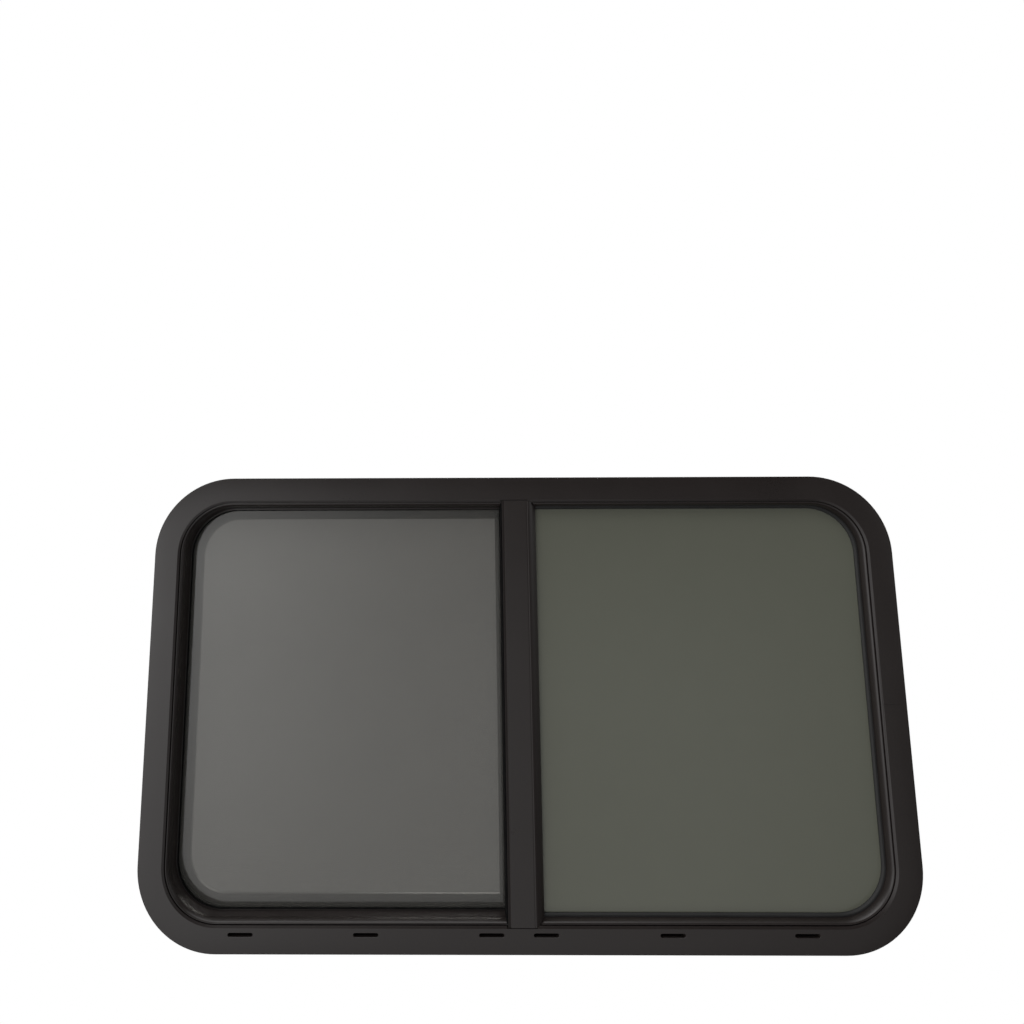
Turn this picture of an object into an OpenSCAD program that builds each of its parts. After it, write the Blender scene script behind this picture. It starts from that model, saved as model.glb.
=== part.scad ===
// Caravan window: a horizontal slider in a bent aluminium frame with round corners, its insect
// screen on the room side, and the clamp ring that grips the wall from inside.
// Every piece is drawn lying face up: x runs to the right as seen from outside, y runs up and
// z comes out of the window, with z = 0 on the flange's back face. stand_up() then raises the
// window so that its outside faces -Y and the origin lies on the back of the bottom flange.
// A depth u is measured inwards from the flange's outer edge.

/* [Wall cut-out] */
// Width of the cut-out in the wall
cutout_w = 914.4; // [700:1:1200]
// Height of the cut-out in the wall
cutout_h = 542; // [420:1:800]
// Corner radius of the cut-out
cutout_r = 83; // [75:1:110]
// Thickness of the wall between the flange and the clamp ring
wall_t = 40; // [36:0.5:50]

/* [Outer frame] */
// Overlap of the flange on the wall round the cut-out
lap = 15.8; // [14:0.1:20]
// Gap between the cut-out and the frame's body
body_gap = 3; // [2:0.1:4]
// Width of the flat face, from the outer edge to the bevel
face_w = 29.5; // [29.3:0.1:36]
// Thickness of the flange
flange_t = 2.6; // [2.2:0.1:3.5]
// Radius of the flange's outer front edge
edge_r = 1.2; // [0.6:0.1:1.6]
// Width of the bevel between the face and the groove
bevel_w = 1.8; // [1.2:0.1:2.4]
// Depth of the bevel at the groove
bevel_d = 0.9; // [0.5:0.1:1.1]
// Width of the groove between the bevel and the lip
groove_w = 1.4; // [1:0.1:2]
// Depth of the groove below the face
groove_d = 1.8; // [1.4:0.1:1.9]
// Width of the flat lip between the groove and the reveal
lip_w = 1.3; // [1:0.1:2]
// Width of the reveal, the wall that slopes down to the glass
reveal_w = 2.9; // [2.4:0.1:4]
// Depth of the reveal below the face
reveal_d = 9.5; // [8:0.1:11]
// Swell of the reveal above its straight line
reveal_swell = 1.2; // [0.4:0.1:1.6]
// Thickness of the frame's walls
frame_wall = 1.6; // [1.2:0.1:2]
// Distance from the face's inner edge to the floor of the channels
floor_in = 4; // [3.6:0.1:4.3]
// Width of the channel that holds the fixed pane
pocket_w = 8; // [7.6:0.1:8.6]
// Width of the channel in which the other pane slides
slide_w = 7.2; // [6.8:0.1:8]
// Thickness of the fins between the channels
fin_t = 1.4; // [1:0.1:1.8]
// Height of the fins above the channel floor
fin_h = 6.1; // [5.5:0.1:7]
// Depth of the frame behind the flange
frame_d = 31.4; // [31.2:0.1:34]
// Distance of the screw race from the flange's outer edge
race_u = 23.5; // [23.2:0.1:24.5]
// Width of the screw race
race_w = 3.8; // [3.7:0.1:4.2]
// Depth of the screw race
race_d = 25.4; // [25:0.1:26]
// Width of the hairline where the bent extrusion's ends meet
joint_w = 0.4; // [0.2:0.1:0.8]
// Thickness of the strip that closes the front channel left of the mullion
filler_t = 1.4; // [1:0.1:1.8]

/* [Weep slots] */
// Length of one weep slot
slot_len = 30; // [16:1:40]
// Height of one weep slot
slot_h = 4.5; // [3:0.1:5]
// Height of the slots above the flange's lower edge
slot_up = 22.2; // [21:0.1:23]
// Distance between neighbouring slots of one pane
slot_pitch = 150; // [100:1:160]
// Distance from the window's middle to the first slot left of the mullion
slot_left = 45; // [30:1:60]
// Distance from the window's middle to the first slot right of the mullion
slot_right = 20; // [15:1:60]
// Distance from the window's middle to the last slot right of the mullion
slot_last = 329; // [280:1:340]

/* [Mullion] */
// Width of the mullion's flat face
mullion_w = 37.3; // [32:0.1:44]
// Distance from the window's middle to the mullion's left edge
mullion_left = 26.8; // [24:0.1:30]
// Thickness of the mullion's cover plate where it passes over the frame
mullion_plate_t = 1.2; // [1:0.1:1.4]
// Distance of the fine lines from the edges of the mullion's face
mullion_line_in = 2.4; // [1.6:0.1:4]
// Width of the fine lines
mullion_line_w = 0.8; // [0.4:0.1:1.2]
// Width of the mullion's own reveal, on the side of the fixed pane
mullion_reveal_w = 8.9; // [7:0.1:11]
// Clearance between the mullion and the frame
mullion_gap = 0.1; // [0.05:0.05:0.3]

/* [Glass] */
// Thickness of the panes
glass_t = 4; // [3:0.5:4]
// Distance from the channel floor to a pane's edge
glass_edge = 2.2; // [2:0.1:3]
// Overlap of the two panes behind the mullion, from the mullion's right edge leftwards
sash_back = 3; // [1:0.5:6]
// Width of the seal's front leg from the channel floor to the sight line
seal_sight = 7; // [6:0.1:9]
// Width of the seal's front leg beside the mullion
seal_beside = 11; // [10:0.1:13]
// Width of the step along the edge of the seal's front leg
seal_step = 1; // [0.6:0.1:1.6]
// Thickness of the seal's leg behind the fixed pane
seal_back_t = 1.2; // [1:0.1:1.8]
// Clearance between a seal and the metal round it
seal_gap = 0.1; // [0.05:0.05:0.3]
// Clearance between the sliding pane and its run
run_gap = 0.3; // [0.1:0.1:0.5]
// Height of the run's legs above the channel floor
run_h = 6.3; // [5.6:0.1:7.2]

/* [Sash stile and latch] */
// Width of the stile's legs over the sliding pane
stile_w = 21; // [14:0.5:24]
// Thickness of the stile's walls
stile_t = 1.2; // [1:0.1:1.6]
// Depth of the finger pull behind the stile
pull_d = 7; // [4:0.5:10]
// Length of the latch body
latch_l = 56; // [40:1:80]
// Width of the latch body
latch_w = 16; // [12:1:18]
// Depth of the latch body
latch_d = 8.5; // [6:0.5:12]

/* [Insect screen] */
// Width of the screen frame's bars
screen_bar = 17.8; // [16:0.1:22]
// Thickness of the screen frame
screen_t = 6; // [5:0.1:6]
// Clearance round the screen frame
screen_gap = 0.3; // [0.1:0.1:0.6]
// Distance from the window's middle to the screen's right edge
screen_right = 14; // [13:0.5:18]
// Thickness of the mesh
mesh_t = 0.4; // [0.3:0.1:0.6]
// Width of the spline that holds the mesh
spline_w = 3; // [2.4:0.1:4]

/* [Clamp ring] */
// Width of the clamp ring's band
ring_w = 29; // [28.5:0.1:32]
// Thickness of the clamp ring
ring_t = 1.6; // [1.2:0.1:2]
// Gap between the cut-out and the ring's riser
ring_gap = 0.8; // [0.5:0.1:1]
// Width of the thin rim at the ring's outer edge
rim_w = 3; // [2:0.1:5]
// Distance from the bends to the nearest screws along the top and the bottom
screw_end_x = 15.7; // [8:0.1:40]
// Distance from the bends to the nearest screws along the sides
screw_end_y = 4; // [2:0.1:30]
// Radius of the screw holes in the ring
screw_hole_r = 2.3; // [2:0.05:2.6]

/* [Screws] */
// Radius of a screw's shank
screw_r = 1.75; // [1.5:0.05:1.85]
// Length of a screw below its head
screw_l = 25; // [18:0.5:25.4]
// Radius of a screw's head
head_r = 4.8; // [4:0.1:4.8]
// Height of a screw's head
head_h = 2.2; // [1.6:0.1:3]

/* [Hidden] */
$fn = 64;

bronze = [0.16, 0.15, 0.145];
black = [0.03, 0.03, 0.03];
tint = [0.33, 0.35, 0.32, 0.5];

// Overall size of the flange and of the clamp ring
frame_w = cutout_w + 2 * lap;
frame_h = cutout_h + 2 * lap;
frame_r = cutout_r + lap;
// Half lengths of the straight sides between the corner bends
straight_x = frame_w / 2 - frame_r;
straight_y = frame_h / 2 - frame_r;

// Depths u of the frame's walls and edges
body_u = lap + body_gap;
floor_u = face_w + floor_in;
groove_u = face_w + bevel_w;
lip_u = groove_u + groove_w + lip_w;
tip_u = lip_u + reveal_w;
fin_u = floor_u + fin_h;

// Levels z of the channels, from the face down to the room side
tip_z = flange_t - reveal_d;
tip_t = 1.4;
pocket_z = tip_z - pocket_w;
fin_z = pocket_z - fin_t;
slide_z = fin_z - slide_w;
slide_fin_z = slide_z - fin_t;
race_floor_z = race_d - frame_d;
race_wall = 1.2;

// Levels z of the panes' backs: the fixed one lies on its seal, the other is in mid-channel
fixed_z = pocket_z + seal_back_t;
slide_glass_z = slide_z + (slide_w - glass_t) / 2;

// Mullion edges and the pieces that line up with them
mull_l = -mullion_left;
mull_r = mull_l + mullion_w;
mull_tip = mull_r + mullion_reveal_w;
mull_back_t = 1;
mull_plate_z = flange_t - mullion_plate_t;

// Overshoot of a cut past the surface it cuts, and the small clearances between pieces
cut = 1;
press = 0.1;
play = 0.2;
loose = 0.5;

// Right edge of the sliding pane and of its stile
sash_r = mull_r - sash_back;
stile_r = sash_r + run_gap + stile_t + loose;
stile_front = fin_z - play;
stile_back = slide_z + play;
stile_y = frame_h / 2 - floor_u - run_h - loose;
pile_w = 4;
stop_l = 12;
stop_in = 2;

// Latch on the sash stile: place, base plate, body and thumb lever
latch_x = stile_r - latch_w / 2 - 2 * play;
latch_step = 1.4;
latch_base_over = 12;
latch_side = 1.5;
latch_r = 5;
lever_w = latch_w - 8;
lever_l = latch_l / 2;
lever_t = 2;
lever_end_l = 6;
lever_end_h = 3;

// Screen levels and edges
screen_u = floor_u + screen_gap;
screen_in = screen_u + screen_bar;
screen_top = frame_h / 2 - screen_u;
screen_front = slide_fin_z - play;
screen_back = screen_front - screen_t;
screen_stile_l = -screen_right - screen_bar;
spline_wall = 2;
spline_slot_w = spline_w + 2 * play;
spline_u = screen_in - spline_wall - spline_slot_w;
spline_deep = 2.6;
mesh_step = 1.2;

// Pull tabs of the screen: height above and below the middle, and sizes
tab_up = 150;
tab_w = 9;
tab_h = 16;
tab_t = 1.2;
tab_grip_w = 1.4;
tab_grip_h = 3;

// Horseshoe clips that hold the screen: sizes, distance from the flange's edge and place
clip_w = 12;
clip_l = 15;
clip_t = 1;
clip_slot_w = 4.4;
clip_u = ring_w + loose;
clip_x = (screen_stile_l - straight_x) / 2;

// Clamp ring levels
ring_z = -frame_d;
ring_out_z = -wall_t;
riser_u = lap + ring_gap;
band_t = 2;
rim_t = 1;
screw_pitch_x = 2 * (straight_x - screw_end_x) / 3;
screw_pitch_y = 2 * (straight_y - screw_end_y) / 3;
point_l = 4;

// Levels z and depths u of the filler strip in the front channel
filler_top = tip_z - mullion_gap;
filler_back = pocket_z + mullion_gap;
filler_out_u = floor_u + mullion_gap;
filler_top_u = tip_u - 2 * play;
filler_back_u = fin_u - 1.6;

// The origin lies on the back of the bottom flange, at the middle of its overlap
origin_up = frame_h / 2 - body_u / 2;

module stand_up() {
    translate([0, 0, origin_up])
        rotate([90, 0, 0])
            children();
}

// Sweeps the section round the rounded outline of the flange: the section's x is the depth u
// and its y becomes z.
module bent_round() {
    for (side = [0:3]) {
        half = side % 2 == 0 ? frame_w / 2 : frame_h / 2;
        run = side % 2 == 0 ? straight_y : straight_x;
        rotate([0, 0, 90 * side]) {
            translate([half, run, 0])
                rotate([90, 0, 0])
                    linear_extrude(2 * run)
                        mirror([1, 0])
                            children();
            translate([half - frame_r, run, 0])
                rotate_extrude(angle = 90, $fn = 96)
                    translate([frame_r, 0])
                        mirror([1, 0])
                            children();
        }
    }
}

// The flange's outline moved inwards by u
module outline(u) {
    square([frame_w - 2 * u, 2 * straight_y], center = true);
    square([2 * straight_x, frame_h - 2 * u], center = true);
    for (sx = [-1, 1])
        for (sy = [-1, 1])
            translate([sx * straight_x, sy * straight_y])
                circle(frame_r - u, $fn = 96);
}

// The part of an outline between two places along x
module outline_between(u, x0, x1) {
    intersection() {
        outline(u);
        translate([x0, -frame_h])
            square([x1 - x0, 2 * frame_h]);
    }
}

// A flat ring between two depths, cut off at the left or right: the cut edge is moved too
module right_ring(u_out, u_in, x_out, x_in) {
    difference() {
        outline_between(u_out, x_out, frame_w);
        outline_between(u_in, x_in, frame_w);
    }
}

module layer(z0, z1) {
    translate([0, 0, z0])
        linear_extrude(z1 - z0)
            children();
}

// Point of a reveal of width w at share t of that width, with x measured from the lip
function reveal_point(w, t) =
    [w * t, flange_t - (reveal_d - tip_t) * t + 4 * reveal_swell * t * (1 - t)];

module reveal_fin(w) {
    steps = 6;
    polygon(concat(
        [[-cut, mull_plate_z]],
        [[-cut, flange_t]],
        [for (i = [0:steps]) reveal_point(w, i / steps)],
        [[w, tip_z], [w - frame_wall, tip_z], [-cut, 0]]
    ));
}

module frame_section() {
    difference() {
        union() {
            translate([edge_r, 0])
                square([lip_u - edge_r, flange_t]);
            square([2 * edge_r, flange_t - edge_r]);
            translate([edge_r, flange_t - edge_r])
                circle(edge_r, $fn = 32);
            translate([body_u, -frame_d])
                square([floor_u - body_u, frame_d]);
            translate([lip_u, 0])
                reveal_fin(reveal_w);
            translate([floor_u - cut, fin_z])
                square([fin_h + cut, fin_t]);
            translate([floor_u - cut, slide_fin_z])
                square([fin_h + cut, fin_t]);
        }
        polygon([
            [face_w, flange_t],
            [groove_u, flange_t - bevel_d],
            [groove_u, flange_t - groove_d],
            [groove_u + groove_w, flange_t - groove_d],
            [groove_u + groove_w, flange_t + cut],
            [face_w, flange_t + cut]
        ]);
        translate([race_u - race_w / 2, -frame_d - cut])
            square([race_w, race_d + cut]);
        chamber();
    }
}

// Hollow of the extrusion: in front of the screw race, then beside it to the rear wall
module chamber() {
    front_u = body_u + frame_wall;
    back_u = race_u + race_w / 2 + race_wall;
    far_u = floor_u - frame_wall;
    translate([front_u, race_floor_z + race_wall])
        square([far_u - front_u, -race_floor_z - race_wall]);
    translate([back_u, frame_wall - frame_d])
        square([far_u - back_u, frame_d - frame_wall]);
}

// Slots under each pane: three left of the mullion, three right of it
module weep_slots() {
    places = [
        -slot_left - 2 * slot_pitch, -slot_left - slot_pitch, -slot_left,
        slot_right, slot_right + slot_pitch, slot_last
    ];
    for (x = places)
        translate([x, slot_up - frame_h / 2])
            slot_outline();
}

module slot_outline() {
    square([slot_len - slot_h, slot_h], center = true);
    for (side = [-1, 1])
        translate([side * (slot_len - slot_h) / 2, 0])
            circle(slot_h / 2, $fn = 32);
}

// Room for the mullion's ends: over the lip for the cover plate, and through the reveal up to a
// mitre where the mullion's own reveal meets it
module mullion_notch() {
    left = mull_l - mullion_gap;
    right = mull_r + mullion_gap;
    for (side = [0, 1])
        mirror([0, side, 0])
            translate([0, frame_h / 2, 0]) {
                layer(mull_plate_z, flange_t + cut)
                    translate([left, -lip_u])
                        square([right - left, lip_u - face_w]);
                layer(tip_z - cut / 2, flange_t + cut)
                    polygon([
                        [left, -floor_u],
                        [right, -floor_u],
                        [right, -lip_u],
                        [right + mullion_reveal_w, -tip_u],
                        [right + mullion_reveal_w, -tip_u - cut],
                        [left, -tip_u - cut]
                    ]);
            }
}

module outer_frame() {
    color(bronze)
        stand_up()
            difference() {
                bent_round()
                    frame_section();
                layer(-cut, flange_t + cut)
                    weep_slots();
                mullion_notch();
                translate([frame_w / 2 - face_w, -joint_w / 2, flange_t - joint_w])
                    cube([face_w + cut, joint_w, joint_w + cut]);
            }
}

// Strip that closes the unused front channel of the left bay: a C open to the channel's floor
module filler_section() {
    polygon([
        [filler_out_u, filler_top],
        [filler_top_u, filler_top],
        [filler_back_u, filler_back],
        [filler_out_u, filler_back],
        [filler_out_u, filler_back + filler_t],
        [filler_back_u - filler_t - play, filler_back + filler_t],
        [filler_top_u - filler_t + play, filler_top - filler_t],
        [filler_out_u, filler_top - filler_t]
    ]);
}

module bay_filler() {
    color(bronze)
        stand_up()
            intersection() {
                bent_round()
                    filler_section();
                translate([-frame_w, -frame_h, -frame_d])
                    cube([frame_w + mull_l - mullion_gap, 2 * frame_h, frame_d]);
            }
}

module mullion_box() {
    difference() {
        translate([mull_l, pocket_z - mull_back_t])
            square([mullion_w, flange_t - pocket_z + mull_back_t]);
        translate([mull_l + frame_wall, pocket_z + mull_back_t])
            square([mullion_w - 2 * frame_wall, mull_plate_z - pocket_z - mull_back_t]);
        for (x = [mull_l + mullion_line_in, mull_r - mullion_line_in])
            translate([x - mullion_line_w / 2, flange_t - mullion_line_w / 2])
                square([mullion_line_w, mullion_line_w]);
    }
}

// Length of a mullion layer that ends at depth u
function mullion_len(u) = frame_h - 2 * u;

module along_mullion(u) {
    translate([0, mullion_len(u) / 2, 0])
        rotate([90, 0, 0])
            linear_extrude(mullion_len(u))
                children();
}

module mullion() {
    end_u = floor_u + mullion_gap;
    color(bronze)
        stand_up()
            difference() {
                union() {
                    along_mullion(face_w + mullion_gap)
                        mullion_box();
                    along_mullion(lip_u)
                        translate([mull_r, 0])
                            reveal_fin(mullion_reveal_w);
                    along_mullion(fin_u + mullion_gap)
                        translate([mull_r - cut, pocket_z - mull_back_t])
                            square([fin_h + 2 * cut, mull_back_t]);
                }
                mullion_end_cuts(end_u);
            }
}

// Each end: only the cover plate reaches the face, the box stops at the channel floor, its back
// stops at the fin, and the reveal is mitred
module mullion_end_cuts(end_u) {
    for (side = [0, 1])
        mirror([0, side, 0])
            translate([0, frame_h / 2, 0]) {
                layer(-frame_d, mull_plate_z)
                    translate([mull_l - cut, -end_u])
                        square([mull_tip - mull_l + 3 * cut, end_u]);
                layer(-frame_d, pocket_z + mullion_gap)
                    translate([mull_l - cut, -fin_u - mullion_gap])
                        square([mull_tip - mull_l + 3 * cut, fin_u]);
                layer(-frame_d, flange_t + cut)
                    polygon([
                        [mull_r, -lip_u],
                        [mull_tip, -tip_u],
                        [mull_tip + cut, -tip_u - cut * reveal_w / mullion_reveal_w],
                        [mull_tip + cut, 0],
                        [mull_r, 0]
                    ]);
            }
}

// Pile strip on the back of the mullion that wipes the sliding pane
module mullion_pile() {
    color(black)
        stand_up()
            layer(slide_glass_z + glass_t + play, pocket_z - mull_back_t)
                translate([mull_l - pile_w / 4, -stile_y])
                    square([pile_w, 2 * stile_y]);
}

module fixed_glass() {
    color(tint)
        stand_up()
            layer(fixed_z, fixed_z + glass_t)
                outline_between(floor_u + glass_edge, mull_r + glass_edge, frame_w);
}

// One ring of the seal between the channel floor and a height above it, which may differ
// beside the mullion
module seal_ring(height, beside) {
    right_ring(floor_u + seal_gap, floor_u + height, mull_r + seal_gap, mull_r + beside);
}

// U-shaped rubber round the fixed pane, its front leg stepped along the sight line
module fixed_seal() {
    front_z = fixed_z + glass_t;
    step_z = (front_z + tip_z - seal_gap) / 2;
    color(black)
        stand_up() {
            layer(step_z, tip_z - seal_gap)
                seal_ring(seal_sight - seal_step, seal_beside - seal_step);
            layer(front_z, step_z)
                seal_ring(seal_sight, seal_beside);
            layer(fixed_z, front_z)
                seal_ring(glass_edge - seal_gap, glass_edge - seal_gap);
            layer(pocket_z + seal_gap, fixed_z)
                seal_ring(fin_h, fin_h);
        }
}

module sliding_glass() {
    color(tint)
        stand_up()
            layer(slide_glass_z, slide_glass_z + glass_t)
                outline_between(floor_u + glass_edge, -frame_w, sash_r);
}

// Black lined channel for the sliding pane, drawn between two places along x
module glass_run(x0, x1) {
    leg = (slide_w - glass_t) / 2 - run_gap;
    color(black)
        stand_up() {
            run_layer(fin_z - leg, fin_z - seal_gap, run_h, x0, x1);
            run_layer(slide_z + leg, fin_z - leg, glass_edge - run_gap, x0, x1);
            run_layer(slide_z + seal_gap, slide_z + leg, run_h, x0, x1);
        }
}

module run_layer(z0, z1, height, x0, x1) {
    layer(z0, z1)
        difference() {
            outline_between(floor_u + seal_gap, x0, x1);
            outline(floor_u + height);
        }
}

module glass_run_left() {
    glass_run(-frame_w, -straight_x);
}

module glass_run_straight(side) {
    intersection() {
        glass_run(-straight_x + play, straight_x);
        stand_up()
            translate([0, side * frame_h / 2, 0])
                cube([2 * frame_w, frame_h - 2 * cut, 4 * frame_d], center = true);
    }
}

module glass_run_top() {
    glass_run_straight(1);
}

module glass_run_bottom() {
    glass_run_straight(-1);
}

// Rubber block in the run where the opened sash stops
module sash_stop(side) {
    color(black)
        stand_up()
            layer(slide_glass_z, slide_glass_z + glass_t)
                mirror([0, side > 0 ? 0 : 1])
                    translate([straight_x - stop_l - stop_in, frame_h / 2 - floor_u - run_h])
                        square([stop_l, run_h - glass_edge]);
}

module sash_stop_upper() {
    sash_stop(1);
}

module sash_stop_lower() {
    sash_stop(-1);
}

// Channel on the sliding pane's edge, with the finger pull on the room side
module sash_stile() {
    left = sash_r - stile_w;
    color(bronze)
        stand_up()
            translate([0, stile_y, 0])
                rotate([90, 0, 0])
                    linear_extrude(2 * stile_y)
                        difference() {
                            union() {
                                translate([left, stile_back])
                                    square([stile_r - left, stile_front - stile_back]);
                                translate([left, stile_back - pull_d])
                                    square([stile_t, pull_d + cut]);
                            }
                            translate([left - cut, slide_glass_z - press])
                                square([sash_r + press - left + cut, glass_t + 2 * press]);
                        }
}

module rounded_plate(w, h, r) {
    square([w - 2 * r, h], center = true);
    square([w, h - 2 * r], center = true);
    for (sx = [-1, 1])
        for (sy = [-1, 1])
            translate([sx * (w / 2 - r), sy * (h / 2 - r)])
                circle(r, $fn = 48);
}

module latch_body() {
    color(black)
        stand_up()
            translate([latch_x, 0, 0]) {
                layer(stile_back - latch_step, stile_back)
                    rounded_plate(latch_w, latch_l + latch_base_over, latch_r);
                layer(stile_back - latch_d, stile_back - latch_step)
                    rounded_plate(latch_w - 2 * latch_side, latch_l, latch_r);
            }
}

// Thumb lever on the latch body, with a raised end
module latch_lever() {
    top = stile_back - latch_d;
    color(black)
        stand_up()
            translate([latch_x, 0, 0]) {
                layer(top - lever_t, top)
                    rounded_plate(lever_w, lever_l, lever_w / 2 - play);
                translate([0, lever_l / 2 - lever_w / 2, 0])
                    layer(top - lever_t - lever_end_h, top - lever_t)
                        rounded_plate(lever_w, lever_end_l, lever_w / 4);
            }
}

// The screen frame's bars between two depths, left of its stile
module screen_bars(u_out, u_in) {
    difference() {
        outline_between(u_out, -frame_w, screen_stile_l - press);
        outline(u_in);
    }
}

module screen_frame() {
    color(bronze)
        stand_up()
            difference() {
                layer(screen_back, screen_front)
                    screen_bars(screen_u, screen_in);
                layer(screen_back - cut, screen_back + spline_deep)
                    screen_bars(spline_u, spline_u + spline_slot_w);
                layer(screen_back - cut, screen_back + mesh_step)
                    screen_bars(spline_u, screen_in + cut);
            }
}

module screen_stile() {
    reach = screen_top - screen_bar - press;
    color(bronze)
        stand_up()
            difference() {
                layer(screen_back, screen_front)
                    translate([screen_stile_l, -reach])
                        square([screen_bar, 2 * reach]);
                layer(screen_back - cut, screen_back + spline_deep)
                    translate([screen_stile_l + spline_wall, -frame_h])
                        square([spline_slot_w, 2 * frame_h]);
                layer(screen_back - cut, screen_back + mesh_step)
                    translate([screen_stile_l - cut, -frame_h])
                        square([spline_wall + cut + play, 2 * frame_h]);
            }
}

// Plastic corner piece that joins the stile to the bent bars
module screen_corner(side) {
    color(black)
        stand_up()
            mirror([0, side > 0 ? 0 : 1, 0])
                difference() {
                    layer(screen_back, screen_front)
                        translate([screen_stile_l, screen_top - screen_bar])
                            square([screen_bar, screen_bar]);
                    layer(screen_back - cut, screen_back + spline_deep)
                        translate([screen_stile_l - cut, frame_h / 2 - screen_in - cut])
                            square([
                                spline_wall + spline_slot_w + cut,
                                screen_in - spline_u + cut
                            ]);
                }
}

module screen_corner_upper() {
    screen_corner(1);
}

module screen_corner_lower() {
    screen_corner(-1);
}

module screen_mesh() {
    rest = screen_back + mesh_step;
    edge = spline_u + spline_slot_w;
    color([0.35, 0.35, 0.34, 0.8])
        stand_up()
            layer(rest - mesh_t, rest)
                outline_between(edge, -frame_w, screen_stile_l + spline_wall);
}

// Rubber cord pressed into the groove round the screen frame
module screen_spline() {
    color(black)
        stand_up()
            layer(screen_back + play, screen_back + spline_deep)
                difference() {
                    outline_between(spline_u + play, -frame_w,
                        screen_stile_l + spline_wall + spline_w + play);
                    outline_between(spline_u + spline_w + play, -frame_w,
                        screen_stile_l + spline_wall + play);
                }
}

module screen_tab(side) {
    color(black)
        stand_up()
            translate([-screen_right - screen_bar / 3, side * tab_up, 0]) {
                layer(screen_back - tab_t, screen_back)
                    rounded_plate(tab_w, tab_h, tab_w / 4);
                translate([tab_w / 2 - tab_grip_w, 0, 0])
                    layer(screen_back - tab_t - tab_grip_h, screen_back - tab_t)
                        rounded_plate(tab_grip_w, tab_h - tab_w / 2, tab_grip_w / 3);
            }
}

module screen_tab_upper() {
    screen_tab(1);
}

module screen_tab_lower() {
    screen_tab(-1);
}

// Horseshoe clip that lies on the frame's back and reaches over the screen frame
module screen_clip() {
    layer(ring_z - clip_t, ring_z)
        translate([0, -clip_l])
            difference() {
                union() {
                    translate([-clip_w / 2, 0])
                        square([clip_w, clip_l - clip_w / 2]);
                    translate([0, clip_l - clip_w / 2])
                        circle(clip_w / 2, $fn = 48);
                }
                translate([-clip_slot_w / 2, -cut])
                    square([clip_slot_w, clip_l - clip_w / 2 + cut]);
                translate([0, clip_l - clip_w / 2])
                    circle(clip_slot_w / 2, $fn = 32);
            }
}

module screen_clip_top() {
    color(black)
        stand_up()
            translate([clip_x, frame_h / 2 - clip_u, 0])
                screen_clip();
}

module screen_clip_left() {
    color(black)
        stand_up()
            translate([clip_u - frame_w / 2, 0, 0])
                rotate([0, 0, 90])
                    screen_clip();
}

module screen_clip_bottom() {
    color(black)
        stand_up()
            translate([clip_x, clip_u - frame_h / 2, 0])
                rotate([0, 0, 180])
                    screen_clip();
}

module ring_section() {
    translate([0, ring_out_z - rim_t])
        square([rim_w, rim_t]);
    translate([rim_w, ring_out_z - band_t])
        square([riser_u + ring_t - rim_w, band_t]);
    translate([riser_u, ring_out_z - band_t])
        square([ring_t, ring_z - ring_out_z + band_t]);
    translate([riser_u, ring_z - ring_t])
        square([ring_w - riser_u, ring_t]);
}

// Places of the screws along one side of the ring
module screw_row(pitch) {
    for (i = [-1.5:1:1.5])
        translate([i * pitch, 0, 0])
            children();
}

module top_screws() {
    translate([0, frame_h / 2 - race_u, 0])
        screw_row(screw_pitch_x)
            children();
}

module side_screws() {
    translate([frame_w / 2 - race_u, 0, 0])
        rotate([0, 0, 90])
            screw_row(screw_pitch_y)
                children();
}

module clamp_ring() {
    color(bronze)
        stand_up()
            difference() {
                bent_round()
                    ring_section();
                for (side = [0, 1]) {
                    mirror([0, side, 0])
                        top_screws()
                            screw_hole();
                    mirror([side, 0, 0])
                        side_screws()
                            screw_hole();
                }
            }
}

module screw_hole() {
    translate([0, 0, ring_z - ring_t - cut])
        cylinder(h = ring_t + 2 * cut, r = screw_hole_r, $fn = 32);
}

// Screw with a domed head on the ring and its point towards the outside
module ring_screw() {
    steps = 5;
    translate([0, 0, ring_z - ring_t])
        rotate_extrude($fn = 32)
            polygon(concat(
                [[0, screw_l], [screw_r, screw_l - point_l], [screw_r, 0], [head_r, 0]],
                [for (i = [1:steps])
                    [head_r * cos(90 * i / steps), -head_h * sin(90 * i / steps)]]
            ));
}

module ring_screws_top() {
    color(black)
        stand_up()
            top_screws()
                ring_screw();
}

module ring_screws_bottom() {
    color(black)
        stand_up()
            mirror([0, 1, 0])
                top_screws()
                    ring_screw();
}

module ring_screws_right() {
    color(black)
        stand_up()
            side_screws()
                ring_screw();
}

module ring_screws_left() {
    color(black)
        stand_up()
            mirror([1, 0, 0])
                side_screws()
                    ring_screw();
}

outer_frame();
bay_filler();
mullion();
mullion_pile();
fixed_glass();
fixed_seal();
sliding_glass();
glass_run_left();
glass_run_top();
glass_run_bottom();
sash_stop_upper();
sash_stop_lower();
sash_stile();
latch_body();
latch_lever();
screen_frame();
screen_stile();
screen_corner_upper();
screen_corner_lower();
screen_mesh();
screen_spline();
screen_tab_upper();
screen_tab_lower();
screen_clip_top();
screen_clip_left();
screen_clip_bottom();
clamp_ring();
ring_screws_top();
ring_screws_bottom();
ring_screws_left();
ring_screws_right();
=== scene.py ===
import math

import bmesh
import bpy
import numpy as np
from mathutils import Matrix, Vector


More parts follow.
